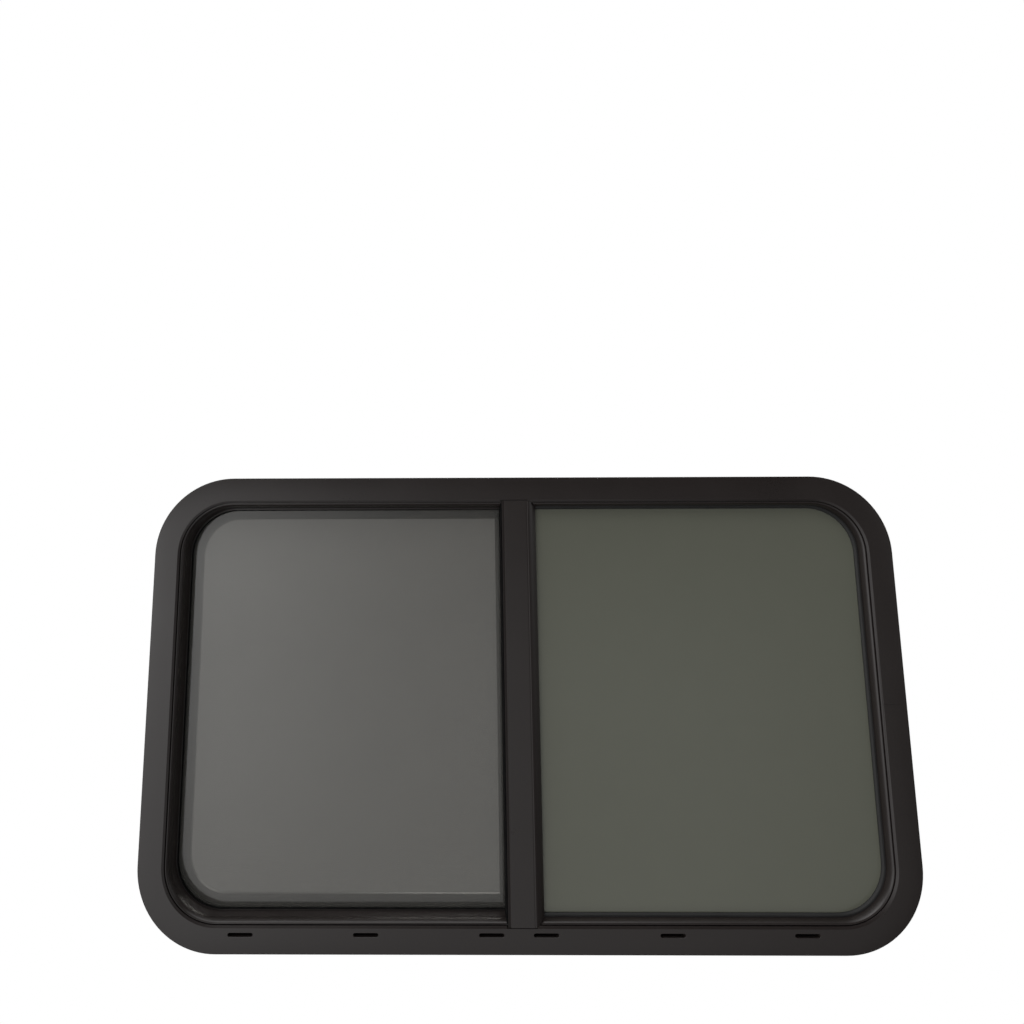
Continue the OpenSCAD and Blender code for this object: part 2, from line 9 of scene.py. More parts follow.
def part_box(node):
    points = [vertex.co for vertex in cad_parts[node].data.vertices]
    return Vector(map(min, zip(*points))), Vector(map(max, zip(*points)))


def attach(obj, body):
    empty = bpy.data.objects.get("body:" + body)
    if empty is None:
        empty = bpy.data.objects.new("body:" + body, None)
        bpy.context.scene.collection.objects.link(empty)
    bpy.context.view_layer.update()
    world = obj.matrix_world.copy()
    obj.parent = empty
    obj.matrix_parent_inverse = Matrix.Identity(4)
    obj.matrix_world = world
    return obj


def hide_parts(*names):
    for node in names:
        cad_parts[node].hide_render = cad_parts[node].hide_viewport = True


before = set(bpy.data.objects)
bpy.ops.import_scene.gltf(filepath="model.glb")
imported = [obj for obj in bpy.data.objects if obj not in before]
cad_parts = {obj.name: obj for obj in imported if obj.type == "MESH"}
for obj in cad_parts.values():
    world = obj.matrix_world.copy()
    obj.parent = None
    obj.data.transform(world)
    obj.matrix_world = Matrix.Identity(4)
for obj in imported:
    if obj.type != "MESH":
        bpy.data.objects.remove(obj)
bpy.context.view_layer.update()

bl_info = {
    "name": "Caravan window",
    "version": (1, 0, 0),
    "blender": (4, 5, 0),
    "location": "3D View > Sidebar > Window",
    "description": "Finishes and fine pieces of a sliding caravan window on its solid frame",
    "category": "Object",
}

FLANGE_LOW, FLANGE_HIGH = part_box("outer_frame")
SILL_TO_MIDDLE = (FLANGE_LOW.z + FLANGE_HIGH.z) / 2
SLIT = 0.0001             # clearance between pieces that are pushed together
TUCK = 0.002              # how far the insect mesh reaches under its bars
AHEAD = -0.004            # Y at which cutters start, ahead of the face
BEND_STEPS = 24           # facets of a quarter bend
SHARP = 40                # degrees past which an edge stays hard
SLOTS_X = (-0.345, -0.195, -0.045, 0.020, 0.170, 0.329)     # middles of the weep slots
CAMERA_PLACE = (-0.1026, -0.6467, SILL_TO_MIDDLE + 0.1736)
CAMERA_FORWARD = (-0.00624, 0.99444, 0.10510)
CAMERA_RIGHT = (0.99998, 0.00654, -0.00248)
CAMERA_SHIFT = 0.0714     # the photograph's vanishing point is left of its middle
LIT_POINT = (0, 0, 0.3)   # what the lamps are turned to


# Shader maths

class Value:
    """A number socket that can stand in a Python sum; each operation adds one Math node."""

    def __init__(self, tree, socket):
        self.tree = tree
        self.socket = socket

    def join(self, operation, *others):
        """A Math node of that operation on this value and the others."""
        node = self.tree.nodes.new("ShaderNodeMath")
        node.operation = operation
        for slot, value in zip(node.inputs, (self, *others)):
            if isinstance(value, Value):
                self.tree.links.new(value.socket, slot)
            else:
                slot.default_value = value
        return Value(self.tree, node.outputs[0])

    def __add__(self, other):
        return self.join("ADD", other)

    __radd__ = __add__

    def __sub__(self, other):
        return self.join("SUBTRACT", other)

    def __rsub__(self, other):
        return self * -1.0 + other

    def __mul__(self, other):
        return self.join("MULTIPLY", other)

    __rmul__ = __mul__

    def __truediv__(self, other):
        return self.join("DIVIDE", other)


class Nodes:
    """A node tree with one way to add nodes to it."""

    def __init__(self, tree):
        self.tree = tree

    def put(self, slot, value):
        """Gives a socket a number, a colour or a link."""
        if isinstance(value, Value):
            self.tree.links.new(value.socket, slot)
        elif isinstance(value, bpy.types.NodeSocket):
            self.tree.links.new(value, slot)
        elif slot.type == "RGBA" and len(value) == 3:
            slot.default_value = (*value, 1.0)
        else:
            slot.default_value = value

    def node(self, kind, settings=None, out=0, **sockets):
        """Adds a node of that type, its settings first, then its sockets; gives one output. A
        socket goes by its name, or by i and its number."""
        node = self.tree.nodes.new("ShaderNode" + kind)
        for name, value in (settings or {}).items():
            setattr(node, name, value)
        for name, value in sockets.items():
            numbered = name[0] == "i" and name[1:].isdigit()
            self.put(node.inputs[int(name[1:]) if numbered else name.replace("_", " ")], value)
        made = node.outputs[out]
        return Value(self.tree, made) if made.type == "VALUE" else made


class Finish(Nodes):
    """A node material with one Principled shader and short ways to add nodes to it."""

    def __init__(self, name, **fixed):
        self.material = bpy.data.materials.new(name)
        self.material.use_nodes = True
        super().__init__(self.material.node_tree)
        self.shader = self.tree.nodes["Principled BSDF"]
        self.set(**fixed)

    def set(self, **sockets):
        """Puts numbers or links on the shader's sockets; an underscore stands for a space."""
        for name, value in sockets.items():
            self.put(self.shader.inputs[name.replace("_", " ")], value)

    def noise(self, size, detail=2.0, rough=0.5):
        """Noise whose grains are about size metres across, from 0 to 1."""
        return self.node("TexNoise", Vector=self.node("TexCoord", out="Object"),
                         Scale=1.0 / size, Detail=detail, Roughness=rough)

    def mix(self, share, first, second):
        """Mixes two colours by a share from 0 to 1; the numbers are the colour sockets'."""
        return self.node("Mix", {"data_type": "RGBA"}, out=2, i0=share, i6=first, i7=second)

    def bump(self, height, depth):
        """A Bump node for a height from 0 to 1 that stands for depth metres."""
        return self.node("Bump", Height=height, Distance=depth)


def spread(value, low, high):
    """Stretches a noise value, which lies near 0.5, so that low..high becomes 0..1."""
    return ((value - low) / (high - low)).join("MAXIMUM", 0.0).join("MINIMUM", 1.0)


# Surface maths

def round_path(half_w, half_h, radius, steps, hold=0.002):
    """Stations round a rounded rectangle, counter-clockwise from the upper end of the right side.

    A station is a base point and the outward way there. In a bend of centre c the way is
    (cos a, sin a) for a from 0 to 90 degrees past the last bend, and the base is c plus radius
    times the way. One more station at the distance hold keeps each straight side straight.
    """
    turn = np.linspace(0, np.pi / 2, steps + 1)[None, :] + np.arange(4)[:, None] * np.pi / 2
    turn = np.concatenate([turn[:, :1], turn, turn[:, -1:]], axis=1)
    way = np.stack([np.cos(turn), np.sin(turn)], axis=2)
    along = np.stack([-np.sin(turn), np.cos(turn)], axis=2)
    slide = np.zeros(turn.shape)
    slide[:, 0], slide[:, -1] = -hold, hold
    centre = np.array([[1, 1], [-1, 1], [-1, -1], [1, -1]]) * \
        np.array([half_w - radius, half_h - radius])
    base = centre[:, None, :] + radius * way + slide[:, :, None] * along
    return base.reshape(-1, 2), way.reshape(-1, 2)


def full_round(size):
    """The whole round path of the flange's outer edge."""
    return round_path(size.width / 2, size.height / 2, size.bend, BEND_STEPS)


def bay_path(size, x_end, slope=0.0, steps=BEND_STEPS):
    """The left half of the round path, from x_end on the top round to x_end on the bottom. At
    depth u its ends are at x_end - slope * u; with a slope of 1 a straight side that closes the
    loop there is mitred into the top and the bottom."""
    base, way = round_path(size.width / 2, size.height / 2, size.bend, steps)
    count = steps + 3
    base, way = base[count:3 * count], way[count:3 * count]
    ends = np.array([[x_end, size.height / 2], [x_end, -size.height / 2]])
    ways = np.array([[slope, 1.0], [slope, -1.0]])
    return np.concatenate([ends[:1], base, ends[1:]]), np.concatenate([ways[:1], way, ways[1:]])


def pane_path(size, x0, slope):
    """The right half of the round path, closed by a straight left side at x0 + slope * u."""
    base, way = bay_path(size, -x0, slope)
    flip = np.array([-1.0, 1.0])
    return (base * flip)[::-1], (way * flip)[::-1]


def rounded(corners, radii, steps=3):
    """A closed outline whose corners are rounded: each corner v becomes the curve
    (1 - t)^2 a + 2 t (1 - t) v + t^2 b, where a and b lie on its two sides, with one more point
    a little further out on each side so that flat sides stay flat in the shading."""
    v = np.asarray(corners, float)
    r = np.broadcast_to(np.asarray(radii, float), len(v))
    back, fore = np.roll(v, 1, axis=0) - v, np.roll(v, -1, axis=0) - v
    lb, lf = np.linalg.norm(back, axis=1), np.linalg.norm(fore, axis=1)
    cosine = np.clip((back * fore).sum(1) / (lb * lf), -0.9999, 0.9999)
    reach = np.minimum(r / np.tan(np.arccos(cosine) / 2), 0.38 * np.minimum(lb, lf))
    a = v + back / lb[:, None] * reach[:, None]
    b = v + fore / lf[:, None] * reach[:, None]
    t = np.linspace(0, 1, steps + 1)[None, :, None]
    curve = (1 - t) ** 2 * a[:, None] + 2 * t * (1 - t) * v[:, None] + t ** 2 * b[:, None]
    more_a, more_b = (v + (end - v) * 1.25 for end in (a, b))
    points = np.concatenate([more_a[:, None], curve, more_b[:, None]], axis=1).reshape(-1, 2)
    keep = np.linalg.norm(points - np.roll(points, 1, axis=0), axis=1) > 1e-6
    return points[keep]


def grid_faces(rows, columns, close_rows, close_columns):
    """Lists of the four-cornered faces between neighbours on a grid of rows times columns."""
    i = np.arange(rows if close_rows else rows - 1)[:, None]
    j = np.arange(columns if close_columns else columns - 1)[None, :]
    i2, j2 = (i + 1) % rows, (j + 1) % columns
    corners = [i * columns + j, i2 * columns + j, i2 * columns + j2, i * columns + j2]
    faces = [np.broadcast_to(c, (i.size, j.size)).ravel() for c in corners]
    return np.stack(faces, axis=1).tolist()


def raised(path, outline):
    """A grid of points for each station of a path and each depth u and height z of an outline:
    base - u * way in the window's plane, and z out of the window, where the room is at +Y."""
    base, way = path
    u, z = np.asarray(outline, float).T
    flat = base[:, None, :] - u[None, :, None] * way[:, None, :]
    out = np.broadcast_to(-z, flat.shape[:2])
    return np.stack([flat[:, :, 0], out, flat[:, :, 1] + SILL_TO_MIDDLE], axis=2)


def swept(path, outline, closed=True):
    """An outline of depths u and heights z carried along a path; open ends get flat caps."""
    points = raised(path, outline)
    rows, columns = points.shape[:2]
    faces = grid_faces(rows, columns, closed, True)
    if not closed:
        faces += [range(columns), range((rows - 1) * columns, rows * columns)[::-1]]
    return points.reshape(-1, 3), faces


def slab(path, rings):
    """A filled plate whose edge runs through rings of depth u and height z, first ring in front."""
    points = raised(path, rings)
    rows, columns = points.shape[:2]
    faces = grid_faces(rows, columns, True, False)
    faces += [range(0, rows * columns, columns),
              range(columns - 1, rows * columns, columns)[::-1]]
    return points.reshape(-1, 3), faces


def prism(polygon, start, end, flat=2, along=1):
    """A flat polygon carried straight from start to end: its first number is x, its second is on
    the axis numbered flat, and it is carried along the axis numbered along."""
    polygon = np.asarray(polygon, float)
    count = len(polygon)
    points = np.empty((2, count, 3))
    points[:, :, 0], points[:, :, flat] = polygon[:, 0], polygon[:, 1]
    points[0, :, along], points[1, :, along] = start, end
    faces = grid_faces(2, count, False, True)
    faces += [range(count), range(count, 2 * count)[::-1]]
    return points.reshape(-1, 3), faces


def upright(outline, half_high):
    """An outline of x and height z out of the window, carried half_high up and down from the
    window's middle."""
    return prism(outline * (1, -1), SILL_TO_MIDDLE - half_high, SILL_TO_MIDDLE + half_high,
                 flat=1, along=2)


def merged(shapes):
    """Several shapes as one: each one's faces count on from the points before it."""
    points, faces, start = [], [], 0
    for shape_points, shape_faces in shapes:
        points.append(shape_points)
        faces += [[k + start for k in face] for face in shape_faces]
        start += len(shape_points)
    return np.concatenate(points), faces


def new_mesh(name, shape, sharp=SHARP):
    """A mesh of points and faces, doubles merged and faces outwards, with hard edges where it
    turns by more than sharp degrees."""
    points, faces = shape
    mesh = bpy.data.meshes.new(name)
    mesh.from_pydata(points.tolist(), [], [list(face) for face in faces])
    work = bmesh.new()
    work.from_mesh(mesh)
    bmesh.ops.remove_doubles(work, verts=work.verts, dist=1e-7)
    bmesh.ops.recalc_face_normals(work, faces=work.faces)
    work.to_mesh(mesh)
    work.free()
    mesh.shade_smooth()
    mesh.set_sharp_from_angle(angle=math.radians(sharp))
    return mesh


def wear(mesh, finish):
    """Gives a mesh its finish in place of any other."""
    mesh.materials.clear()
    mesh.materials.append(finish.material)


def piece(name, form, finish, node):
    """Puts a mesh, or a shape that is made one, in the scene in place of a CAD node."""
    mesh = new_mesh(name, form) if isinstance(form, tuple) else form
    item = bpy.data.objects.new(name, mesh)
    bpy.context.scene.collection.objects.link(item)
    wear(mesh, finish)
    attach(item, "root")
    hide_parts(node)
    return item


def carved(name, shape, *groups):
    """The shape's mesh less groups of cutters; the shapes of one group don't touch each other."""
    mesh = new_mesh(name, shape)
    start = len(mesh.vertices)
    item = bpy.data.objects.new(name + "_blank", mesh)
    tools = [bpy.data.objects.new(name + "_cutter", new_mesh(name + "_cutter", merged(group)))
             for group in groups]
    for tool in tools:
        bpy.context.scene.collection.objects.link(tool)
        cut = item.modifiers.new("cut", "BOOLEAN")
        cut.operation, cut.object, cut.solver = "DIFFERENCE", tool, "EXACT"
    bpy.context.scene.collection.objects.link(item)
    depsgraph = bpy.context.evaluated_depsgraph_get()
    made = bpy.data.meshes.new_from_object(item.evaluated_get(depsgraph))
    made.name = name
    for o in (item, *tools):
        old = o.data
        bpy.data.objects.remove(o)
        bpy.data.meshes.remove(old)
    if len(made.vertices) < start:
        raise RuntimeError(name + " was lost in the cut")
    made.shade_smooth()
    made.set_sharp_from_angle(angle=math.radians(SHARP))
    return made


def softened(node, finish, width, segments=2):
    """A copy of a CAD node, its triangles merged into whole faces and its edges rounded."""
    flat, corner = math.radians(0.5), math.radians(35)
    mesh = bpy.data.meshes.new(node + "_soft")
    work = bmesh.new()
    work.from_mesh(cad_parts[node].data)
    bmesh.ops.remove_doubles(work, verts=work.verts, dist=1e-6)
    bmesh.ops.dissolve_limit(work, angle_limit=flat, verts=work.verts, edges=work.edges)
    work.to_mesh(mesh)
    work.free()
    mesh.shade_smooth()
    mesh.set_sharp_from_angle(angle=corner)
    item = piece(node + "_soft", mesh, finish, node)
    edge = item.modifiers.new("rounded edges", "BEVEL")
    edge.limit_method, edge.angle_limit = "ANGLE", corner
    edge.width, edge.segments = width, segments
    edge.harden_normals = True


# Settings

def length(name, default, description):
    """A length setting whose default is given in millimetres."""
    return bpy.props.FloatProperty(name=name, description=description, subtype="DISTANCE",
                                   unit="LENGTH", precision=5, default=default / 1000)


def number(name, default, description, most=1, subtype="FACTOR"):
    """A number setting from 0 to most."""
    return bpy.props.FloatProperty(name=name, description=description, default=default, min=0,
                                   max=most, subtype=subtype)


def colour_setting(name, default, description):
    """A colour setting."""
    return bpy.props.FloatVectorProperty(
        name=name, description=description, subtype="COLOR", size=3, min=0, max=1,
        default=default)


class SizeSettings(bpy.types.PropertyGroup):
    """Lengths of the window and its pieces"""
    width: length("Width", (FLANGE_HIGH.x - FLANGE_LOW.x) * 1000, "Width over the flange")
    height: length("Height", (FLANGE_HIGH.z - FLANGE_LOW.z) * 1000, "Height over the flange")
    bend: length("Bend", 98.8, "Radius of the flange's outer corners")
    flange: length("Flange", 2.6, "Thickness of the flange")
    edge: length("Edge", 1.2, "Radius of the flange's outer front edge")
    crown: length("Crown", 0.9, "Fall of the face from its inner to its outer edge")
    face: length("Face", 29.5, "Width of the face")
    bevel: length("Bevel", 2.4, "Width of the bevel inside the face")
    bevel_deep: length("Bevel depth", 1.3, "Depth of the bevel at the groove")
    groove: length("Groove", 1.7, "Width of the groove between the bevel and the lip")
    groove_deep: length("Groove depth", 3.6, "Depth of the groove below the face")
    lip_low: length("Lip drop", 1.2, "Depth of the lip below the face")
    reveal: length("Reveal", 3.3, "Width of the reveal from its lip to its tip")
    reveal_deep: length("Reveal depth", 9.5, "Depth of the reveal below the face")
    tip: length("Tip", 1.4, "Thickness of the reveal's tip")
    wall: length("Wall", 1.6, "Thickness of the frame's walls")
    pocket_deep: length("Pocket", 6.0, "Depth of the hollow behind the reveal, from the flange")
    body_in: length("Body", 18.8, "From the flange's edge to the body")
    floor_in: length("Channel floor", 33.5, "From the flange's edge to the channel floor")
    channel: length("Fixed channel", 8.0, "Width of the fixed pane's channel")
    slide: length("Sliding channel", 7.2, "Width of the sliding pane's channel")
    fin: length("Fin", 1.4, "Thickness of the fins")
    fin_in: length("Fin reach", 39.6, "From the flange's edge to the fins' edges")
    depth: length("Depth", 31.4, "Depth of the frame behind the flange")
    race_in: length("Screw race", 23.5, "From the flange's edge to the screw race")
    race: length("Race width", 3.8, "Width of the screw race")
    race_deep: length("Race depth", 25.4, "Depth of the screw race")
    slot_long: length("Slot length", 30, "Length of a weep slot")
    slot_high: length("Slot height", 4.5, "Height of a weep slot")
    slot_up: length("Slot place", 22.2, "Height of the weep slots above the lower edge")
    mullion_left: length("Mullion left", -24.9, "Place of the mullion's left edge")
    wiper: length("Wiper", 1.8, "Thickness of the flocked wiper strip beside the mullion")
    mullion_right: length("Mullion right", 8.6, "Place of the mullion's right edge")
    mullion_plate: length("Mullion plate", 1.2, "Thickness of the mullion's cover plate")
    mullion_reveal: length("Mullion reveal", 10.8, "Width of the mullion's own reveal")
    mullion_side: length("Mullion strips", 2.6, "Width of the sloping strips along its edges")
    mullion_gap: length("Mullion gap", 0.9, "Gap between the mullion's plate and the frame's face")
    glass: length("Glass", 4, "Thickness of a pane")
    glass_in: length("Glass edge", 35.7, "From the flange's edge to the panes' edges")
    glass_arris: length("Arris", 0.5, "Width of the ground edge of a pane")
    run_in: length("Run", 40.5, "From the flange's edge to the flocked run's lip")
    sash_right: length("Sash edge", 7.5, "Place of the sliding pane's right edge")
    seal_back: length("Seal back", 1.2, "Thickness of the seal behind the fixed pane")
    seal_sight: length("Seal", 7.0, "Height of the seal's front leg above the channel floor")
    seal_beside: length("Seal at mullion", 11.0, "Width of the seal's front leg at the mullion")
    screen_bar: length("Screen bar", 17.8, "Width of the screen's bars")
    screen_thick: length("Screen", 6.0, "Thickness of the screen frame")
    screen_right: length("Screen right", -14.0, "Place of the screen's right edge")
    spline: length("Spline", 3.0, "Width of the cord that holds the mesh")
    thread: length("Thread", 0.27, "Thickness of the mesh's threads")
    pitch: length("Pitch", 1.41, "Distance between neighbouring threads")
    wall_slot: length("Wall", 40, "Thickness of the wall between flange and ring")
    ring: length("Ring", 29, "Width of the clamp ring")
    ring_thick: length("Ring thickness", 1.6, "Thickness of the clamp ring")
    riser_in: length("Ring riser", 16.6, "Distance of the ring's riser from its outer edge")
    screw_ends_x: length("Screw ends", 15.7, "Distance from the bends to the outer screws, top")
    screw_ends_y: length("Screw ends at the sides", 4.0, "The same at the sides")
    hole: length("Hole", 2.3, "Radius of the ring's screw holes")
    screw_long: length("Screw", 25, "Length of a screw below its head")
    screw_thick: length("Shank", 1.75, "Radius of a screw over its thread")
    head: length("Head", 4.8, "Radius of a screw's head")
    head_high: length("Head height", 2.2, "Height of a screw's head")

    # Places that follow from the sizes: names in _in are depths from the flange's outer edge,
    # names in _z heights out of the window.
    lip_in = property(lambda s: s.face + s.bevel + s.groove)
    tip_in = property(lambda s: s.lip_in + s.reveal)
    tip_z = property(lambda s: s.flange - s.reveal_deep)
    pocket_z = property(lambda s: s.tip_z - s.channel)
    fin_z = property(lambda s: s.pocket_z - s.fin)
    slide_z = property(lambda s: s.fin_z - s.slide)
    sash_z = property(lambda s: s.slide_z + (s.slide - s.glass) / 2)
    screen_z = property(lambda s: s.slide_z - s.fin - 2 * SLIT)
    mesh_in = property(lambda s: s.floor_in + 3 * SLIT + s.screen_bar)
    cord_in = property(lambda s: s.mesh_in - TUCK - 2 * SLIT - s.spline / 2)
    bay_end = property(lambda s: s.mullion_left - s.wiper - 2 * SLIT)


class FinishSettings(bpy.types.PropertyGroup):
    """Colours and gloss of the finishes"""
    coat_colour: colour_setting(
        "Powder coat", (0.0190, 0.0148, 0.0138), "Colour of the dark bronze powder coat")
    bar_colour: colour_setting(
        "Screen bar", (0.090, 0.085, 0.080), "Colour of the insect screen's bars")
    fixed_tint: colour_setting(
        "Fixed pane", (0.162, 0.167, 0.132), "Colour of the fixed pane")
    sliding_tint: colour_setting(
        "Sliding pane", (0.410, 0.402, 0.375), "Colour of the sliding pane")
    fixed_clear: number(
        "Fixed pane clearness", 0.25,
        "Share of the fixed pane's look that is clear glass, the rest being haze")
    sliding_clear: number("Sliding pane clearness", 0.87, "The same for the sliding pane")
    mesh_colour: colour_setting(
        "Insect mesh", (0.30, 0.295, 0.28), "Colour of the mesh's coated threads")
    coat_roughness: number("Powder coat roughness", 0.31, "Roughness of the powder coat")


class StageSettings(bpy.types.PropertyGroup):
    """Light and camera"""
    lamp_power: number("Lamp strength", 1.0, "Factor on the power of all lamps", 4, "NONE")
    side_light: number("Soft light", 0.78, "Factor on the strength of the soft bright areas", 3,
                       "NONE")
    card: number("Card", 0.22, "Level of the shaded white card behind the glass")
    focal_length: number("Focal length", 17.58, "Focal length of the camera in millimetres", 200,
                         "NONE")


def finishes():
    """The scene's finish settings."""
    return bpy.context.scene.window_finishes


def sizes():
    """The scene's size settings."""
    return bpy.context.scene.window_sizes


# Finishes

def powder_coat(name, colour, roughness):
    """Powder coat: faint clouding, small lighter specks and fine orange peel."""
    f = Finish(name, IOR=1.5)
    cloud = spread(f.noise(0.09, 2.0), 0.3, 0.7)
    grain = spread(f.noise(0.0016, 3.0, 0.6), 0.3, 0.7)
    peel = f.noise(0.0011, 2.0)
    base = f.mix(cloud, [c * 0.93 for c in colour], [c * 1.07 for c in colour])
    f.set(Base_Color=f.mix(grain * 0.35, base, [c * 1.35 for c in colour]),
          Roughness=roughness + (cloud - 0.5) * 0.05 + (grain - 0.5) * 0.04,
          Normal=f.bump(peel, 0.00006))
    return f


def tinted_glass(name, colour, clear):
    """Tinted glass: a share of it is clear and the rest a haze of the same colour."""
    f = Finish(name, IOR=1.5, Transmission_Weight=clear)
    smear = spread(f.noise(0.05, 3.0, 0.6), 0.35, 0.75)
    f.set(Base_Color=f.mix(smear, [c * 0.99 for c in colour], [c * 1.01 for c in colour]),
          Roughness=smear * 0.02)
    return f


def clouded(name, colours, cloud, rough, grain=None, **fixed):
    """A finish with faint clouds in its colour and gloss over a fine grain.

    colours are the darkest and the lightest, cloud the clouds' size and detail, rough the least
    roughness and its range, and grain the grain's depth and then its size, detail and roughness.
    """
    f = Finish(name, **fixed)
    share = spread(f.noise(*cloud), 0.3, 0.7)
    f.set(Base_Color=f.mix(share, *colours), Roughness=rough[0] + share * rough[1])
    if grain:
        f.set(Normal=f.bump(f.noise(*grain[1:]), grain[0]))
    return f


def rubber(name):
    """Black rubber with a matt skin."""
    return clouded(name, ((0.0112, 0.0112, 0.0112), (0.0175, 0.0175, 0.0175)), (0.03, 3.0),
                   (0.62, 0.12), (0.00003, 0.0006, 2.0), IOR=1.5)


def flock():
    """Black flock, which hardly shines."""
    return clouded("flocked_run", ((0.004, 0.004, 0.004), (0.009, 0.009, 0.009)), (0.01, 2.0),
                   (0.9, 0.08), (0.00015, 0.0004, 3.0, 0.7), Specular_IOR_Level=0.08)


def black_plastic():
    """Black moulded plastic with a fine grain."""
    return clouded("black_plastic", ((0.012, 0.012, 0.012), (0.018, 0.018, 0.018)), (0.02, 2.0),
                   (0.45, 0.1), (0.00005, 0.0005, 2.0), IOR=1.5)


def black_steel():
    """Steel under a smooth black coat."""
    return clouded("black_steel", ((0.012, 0.012, 0.013), (0.022, 0.022, 0.023)), (0.003, 3.0),
                   (0.32, 0.15), (0.00002, 0.0005, 2.0), IOR=1.6, Coat_Weight=0.2,
                   Coat_Roughness=0.3)


def insect_mesh(colour):
    """Coated threads of the insect mesh."""
    return clouded("insect_mesh", ([c * 0.9 for c in colour], [c * 1.1 for c in colour]),
                   (0.02, 2.0), (0.5, 0.1), IOR=1.5)


# Shapes of pieces

def frame_outline(s):
    """Section of the bent frame from the flange's outer edge round to its body: the face falls
    outwards by crown * (1 - u / face)^3, and the reveal is a quarter of an ellipse."""
    top, lip = s.flange, s.flange - s.lip_low
    share = np.linspace(0, 1, 9)[1:-1]
    face = [(0.0, top - s.crown)] + [(s.face * t, top - s.crown * (1 - t) ** 3) for t in share]
    corners = [(0.0, 0.0)] + face + [
        (s.face, top), (s.face + s.bevel, top - s.bevel_deep),
        (s.face + s.bevel, top - s.groove_deep), (s.lip_in, top - s.groove_deep), (s.lip_in, lip)]
    radii = [0.0001, s.edge] + [0] * len(share) + [0.0004, 0.0002, 0, 0, 0.0003]
    share = np.linspace(0.12, 1, 9) * np.pi / 2
    corners += [(s.lip_in + s.reveal * np.sin(t), lip - (lip - s.tip_z - s.tip) * (1 - np.cos(t)))
                for t in share]
    radii += [0] * len(share)
    corners += [
        (s.tip_in, s.tip_z), (s.tip_in - s.wall, s.tip_z), (s.floor_in, -s.pocket_deep),
        (s.floor_in, s.pocket_z), (s.fin_in, s.pocket_z), (s.fin_in, s.fin_z),
        (s.floor_in, s.fin_z), (s.floor_in, s.slide_z), (s.fin_in, s.slide_z),
        (s.fin_in, s.slide_z - s.fin), (s.floor_in, s.slide_z - s.fin),
        (s.floor_in, -s.depth), (s.race_in + s.race / 2, -s.depth),
        (s.race_in + s.race / 2, s.race_deep - s.depth),
        (s.race_in - s.race / 2, s.race_deep - s.depth), (s.race_in - s.race / 2, -s.depth),
        (s.body_in, -s.depth), (s.body_in, 0.0)]
    radii += [0.0003, 0.0001, 0, 0, 0.0002, 0.0002, 0, 0, 0.0002, 0.0002, 0,
              0.0003, 0.0001, 0, 0, 0.0001, 0.0003, 0.0001]
    return rounded(corners, radii)


def slot_cutters(s):
    """Round-ended pockets, a little wider at the face so that their edges catch the light."""
    base, way = round_path(s.slot_long / 2, s.slot_high / 2, s.slot_high / 2, 8, 0)
    wider, past, chamfer = 0.0006, 0.0004, 0.00025
    rings = [(-wider, s.flange + past), (0, s.flange - chamfer), (0, -s.pocket_deep)]
    up = s.slot_up - s.height / 2
    return [slab((base + (x, up), way), rings) for x in SLOTS_X]


def both_ends(s, polygon, y_front, y_back):
    """A polygon of x and of height from the flange's upper edge, as a prism there and mirrored
    at the lower edge."""
    return [prism([(x, side * (s.height / 2 + y) + SILL_TO_MIDDLE) for x, y in polygon],
                  y_front, y_back) for side in (1, -1)]


def mullion_cutters(s):
    """Room for the mullion's cover plate and reveal at the top and the bottom."""
    left, right = s.bay_end, s.mullion_right + SLIT
    far = right + s.mullion_reveal
    past = -s.tip_in - 0.001
    plate = [(left, -s.face), (right, -s.face), (right, -s.floor_in), (left, -s.floor_in)]
    mouth = [(left, -s.floor_in), (right, -s.floor_in), (right, -s.face), (far, -s.tip_in),
             (far, past), (left, past)]
    return [both_ends(s, plate, AHEAD, s.groove_deep - s.flange),
            both_ends(s, mouth, AHEAD, 0.0005 - s.tip_z)]


def mullion_outline(s):
    """Section of the mullion: a face between two strips that slope down to the right, and a
    reveal on the right that swells by 4 * swell * t * (1 - t)."""
    left, right, top, w = s.mullion_left, s.mullion_right, s.flange, s.mullion_side
    back, swell, foot = s.pocket_z - 0.001, 0.0012, right + 0.0061
    share = np.linspace(0, 1, 9)[1:]
    reveal = [(right + s.mullion_reveal * t, top - (s.reveal_deep - s.tip) * t
               + 4 * swell * t * (1 - t)) for t in share]
    corners = [(left, back), (left, top - 0.0002), (left + w, top - 0.0011),
               (left + w + 0.0005, top), (right - w, top), (right - 0.0010, top - 0.0003),
               (right - 0.0007, top), (right, top)]
    corners += reveal
    corners += [(right + s.mullion_reveal, s.tip_z), (right + s.mullion_reveal - s.wall, s.tip_z),
                (right, -0.0002), (right, s.pocket_z), (foot, s.pocket_z), (foot, back)]
    radii = [0, 0.0002, 0.0001, 0.0002, 0.0003, 0.0001, 0.0002, 0.0004] + [0] * len(reveal)
    return rounded(corners, radii + [0.0003, 0.0001, 0, 0, 0, 0])


def mullion_trims(s):
    """Cutters for both ends: under the cover plate, behind the channel and along the mitre."""
    left, right = s.mullion_left - 0.001, s.mullion_right
    far = right + s.mullion_reveal
    out, behind = far + 0.002, 0.03
    cover = [(left, 0), (right, 0), (right, -s.floor_in), (left, -s.floor_in)]
    channel = [(left, 0), (out, 0), (out, -s.fin_in), (left, -s.fin_in)]
    mitre = [(right, 0), (out, 0), (out, -s.tip_in), (far, -s.tip_in), (right, -s.face)]
    return [both_ends(s, cover, s.mullion_plate - s.flange, behind),
            both_ends(s, channel, 2 * SLIT - s.pocket_z, behind),
            both_ends(s, mitre, AHEAD, behind + 0.001)]


